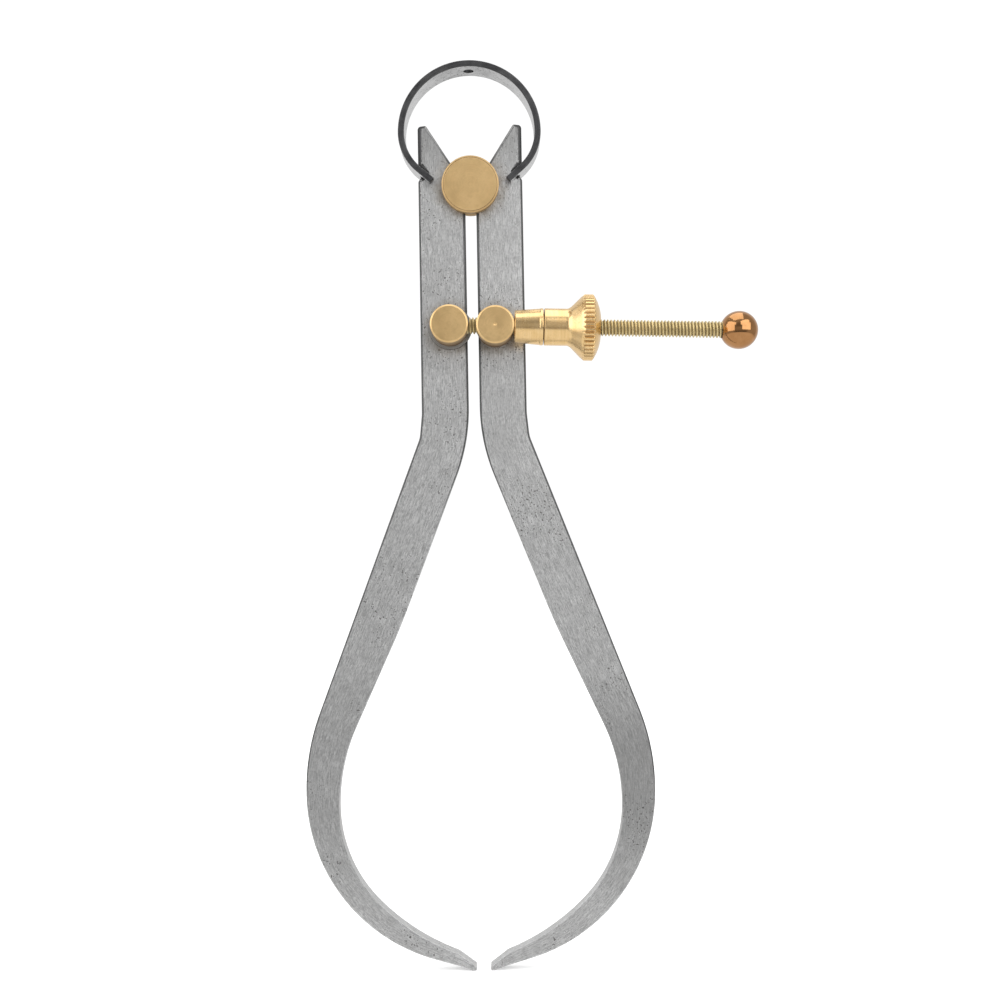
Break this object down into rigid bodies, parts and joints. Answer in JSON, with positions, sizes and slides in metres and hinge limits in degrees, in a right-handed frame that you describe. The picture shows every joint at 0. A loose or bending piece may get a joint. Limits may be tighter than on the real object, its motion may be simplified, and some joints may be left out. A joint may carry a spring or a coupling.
{
  "type": "spring joint outside caliper",
  "caption": "Spring-joint outside caliper: two flat bowed legs on a brass fulcrum, a round bow spring, and a fine screw with a knurled nut.",
  "frame": {"origin": "centre of the fulcrum's rear face", "axes": "+X across the jaws towards the nut, +Z along the legs from the tips to the bow, -Y to the front"},
  "size_m": [0.0871, 0.0147, 0.1736],
  "materials": {
    "ground_steel": "satin",
    "spring_steel": "dark satin",
    "plain_steel": "satin",
    "satin_brass": "satin",
    "polished_brass": "polished",
    "screw_brass": "satin",
    "bronze": "polished"
  },
  "bodies": {
    "fulcrum": {"fulcrum_stud": "satin_brass", "fulcrum_rear_cap": "satin_brass"},
    "left_leg": {"leg_left": "ground_steel"},
    "right_leg": {"leg_right": "ground_steel"},
    "anchor": {"anchor_stud": "satin_brass", "anchor_front_washer": "plain_steel", "anchor_rear_washer": "plain_steel", "screw_lock_pin": "plain_steel", "adjusting_screw": "screw_brass", "ball_end": "bronze"},
    "guide": {"guide_stud": "satin_brass", "guide_rear_washer": "plain_steel", "thrust_ferrule": "polished_brass"},
    "nut": {"adjusting_nut": "polished_brass"},
    "bow_left": {"bow_spring_left_half": "spring_steel"},
    "bow_right": {"bow_spring_right_half": "spring_steel"}
  },
  "joints": [
    {"name": "left_leg_swing", "type": "hinge", "parent": "fulcrum", "child": "left_leg", "pos_m": [0, 0, 0], "axis": [0, 1, 0], "range_deg": [-0.49, 25]},
    {"name": "right_leg_swing", "type": "hinge", "parent": "fulcrum", "child": "right_leg", "pos_m": [0, 0, 0], "axis": [0, -1, 0], "range_deg": [-0.49, 25.1]},
    {"name": "anchor_swivel", "type": "hinge", "parent": "left_leg", "child": "anchor", "pos_m": [-0.00431, 0, -0.02712], "axis": [0, -1, 0], "range_deg": [-0.52, 26.73]},
    {"name": "guide_swivel", "type": "hinge", "parent": "right_leg", "child": "guide", "pos_m": [0.00431, 0, -0.02741], "axis": [0, 1, 0], "range_deg": [-0.46, 23.47]},
    {"name": "nut_turn", "type": "hinge", "parent": "guide", "child": "nut", "pos_m": [0.00431, -0.00855, -0.02741], "axis": [0.9995, 0, -0.0332], "range_deg": [-248.03, 12654.59]},
    {"name": "bow_flex_left", "type": "hinge", "parent": "fulcrum", "child": "bow_left", "pos_m": [-0.04749, 0, 0.02455], "axis": [0, -1, 0], "range_deg": [-0.1, 5.27]},
    {"name": "bow_flex_crown", "type": "hinge", "parent": "bow_left", "child": "bow_right", "pos_m": [0, 0, 0.02237], "axis": [0, 1, 0], "range_deg": [-0.21, 10.53]}
  ],
  "couplings": [
    {"joint": "right_leg_swing", "follows": "left_leg_swing", "ratio": 1},
    {"joint": "anchor_swivel", "follows": "left_leg_swing", "ratio": 1.0649},
    {"joint": "guide_swivel", "follows": "left_leg_swing", "ratio": 0.9351},
    {"joint": "nut_turn", "follows": "left_leg_swing", "ratio": 504.17},
    {"joint": "bow_flex_left", "follows": "left_leg_swing", "ratio": 0.2098},
    {"joint": "bow_flex_crown", "follows": "left_leg_swing", "ratio": 0.41959}
  ]
}
